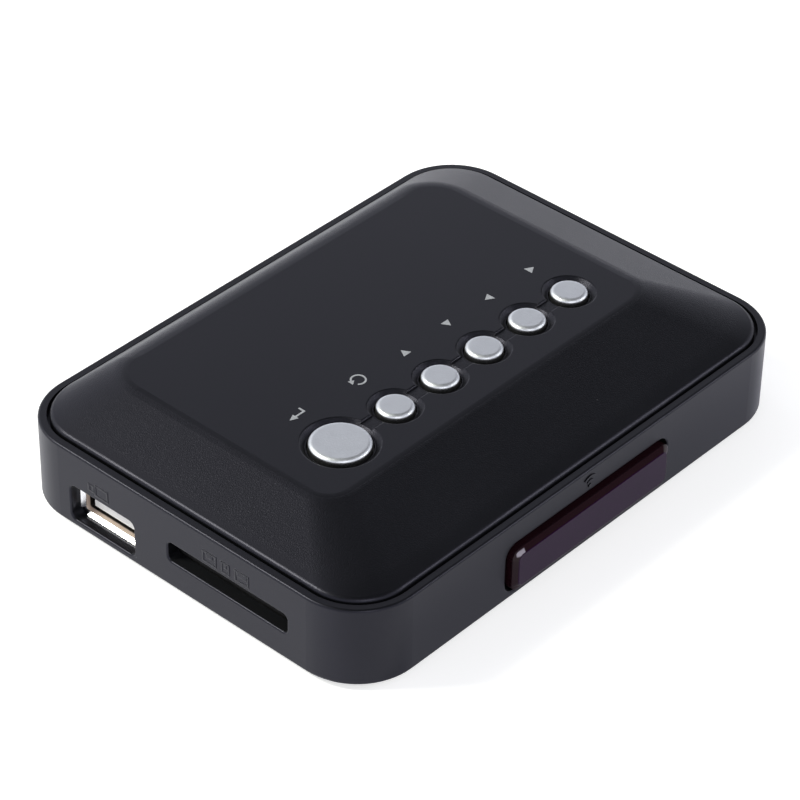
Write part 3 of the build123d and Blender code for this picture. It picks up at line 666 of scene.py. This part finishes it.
# %% Its own light
by_camera, by_mirror, by_glass = [paper.node("ShaderNodeLightPath", {}, {}, "Is %s Ray" % kind)
                                  for kind in ("Camera", "Glossy", "Transmission")]
seen = 0.54
in_front = (0.0 - paper.axis("Y")).rise(36.0, 8.0)
to_the_right = paper.axis("X").rise(42.0, 50.0)
mirrored = 0.45 - 0.19 * (in_front * (1 - 0.8 * to_the_right))
lift = by_camera * seen + (by_mirror | by_glass) * mirrored
tint = paper.blend(by_camera, (0.945, 0.95, 1.09, 1), (1.01, 1.01, 0.98, 1))
paper.surface({"Emission Color": paper.blend(lift, (0, 0, 0, 1), tint)})
print("table seen with", seen, "of its own light")

# %% [markdown]
# ## Soft light
# The box stands in a tent of white cloth: bright at the level of the table and dimmer
# overhead. A picture of a studio could light it, but a tent is one ramp in the world, with
# brightness that falls as a ray looks higher. The ramp lists the height of the ray, from 0 to
# 1, and how bright the cloth is there.

# %% Tent
world = bpy.data.worlds.new("light_tent")
world.use_nodes = True
bpy.context.scene.world = world
tent = Patch(world.node_tree)
light = tent.tree.nodes["Background"].inputs
direction = tent.node("ShaderNodeTexCoord", output="Generated")
ray_height = tent.node("ShaderNodeSeparateXYZ", {}, {"Vector": direction}, "Z")
cool = (0.96, 0.975, 1.08)
levels = {0.0: 0.86, 0.22: 0.93, 0.42: 0.94, 0.56: 0.91,
          0.64: 0.70, 0.71: 0.28, 0.80: 0.13, 1.0: 0.10}
cloth = {place: [levels[place] * part for part in cool] + [1.0] for place in levels}
tent.feed(light["Color"], tent.node("ShaderNodeValToRGB", {"stops": cloth}, {"Fac": ray_height}))
print("tent", levels)

# %% [markdown]
# ## Dark flags
# Black plastic shows its shape only by what it mirrors, so a photographer hangs dark cloths in
# the tent. One is low at the right of the camera, where the top of the window pane mirrors it,
# one is higher on the right and darkens the front slope of the lid, and a narrow one behind
# draws a dark line along the left edge of the flat top. Black boards around the box would do
# the same, but they would be in the way of other views, so the world itself is dimmed there.

# %% Flags
def flag(towards, core, rim, left):
    """A dark cloth in one direction: its core, its soft rim, and the light that it leaves."""
    apart = {0: direction, 1: towards}
    away = tent.node("ShaderNodeVectorMath", {"operation": "DISTANCE"}, apart, "Value")
    fade = {"Value": away, "From Min": core, "From Max": rim, "To Min": left}
    return tent.node("ShaderNodeMapRange", {"interpolation_type": "SMOOTHSTEP"}, fade)


low_right = flag((0.62, -0.77, 0.12), 0.12, 0.34, 0.17)
high_right = flag((0.80, 0.15, 0.58), 0.20, 0.42, 0.31)
behind = flag((0.38, 0.54, 0.75), 0.10, 0.25, 0.10)
tent.feed(light["Strength"], low_right * high_right * behind)
print("three dark flags in a world of", len(tent.tree.nodes), "nodes")

# %% [markdown]
# ## Lamps
# The tent alone is too even. A warm lamp behind on the left draws the light lines along the rim
# and the lid, two weaker ones fill the front, and a faint one high behind gives the left slope
# its sheen. Spots would be harsher than the soft lines on the box, so all four are square area
# lamps, each given by the direction that it shines from, its distance, its side and its power.

# %% Lamps
def soft_lamp(name, towards, away, size, power, colour=(1.0, 1.0, 1.0)):
    """A square lamp that looks at the box from a direction."""
    data = bpy.data.lights.new(name, "AREA")
    data.shape = "SQUARE"
    data.size = size
    data.energy = power
    data.color = colour
    lamp = bpy.data.objects.new(name, data)
    bpy.context.scene.collection.objects.link(lamp)
    aim = Vector(towards).normalized()
    lamp.location = aim * away
    lamp.rotation_euler = aim.to_track_quat("Z", "Y").to_euler()
    print(name, "at", [round(v, 2) for v in lamp.location])


soft_lamp("left_lamp", (-0.49, 0.527, 0.695), 1.5, 0.35, 14.8, (1.0, 1.0, 0.87))
soft_lamp("right_lamp", (0.60, -0.68, 0.44), 1.5, 0.42, 3.4)
soft_lamp("front_lamp", (-0.385, -0.647, 0.565), 1.5, 0.35, 3.0)
soft_lamp("back_lamp", (0.03, 0.54, 0.84), 1.2, 0.52, 0.75)

# %% [markdown]
# ## The view transform
# The view transform is the plain one, so that a colour looks as it is written.

# %% Finish
bpy.context.scene.view_settings.view_transform = "Standard"
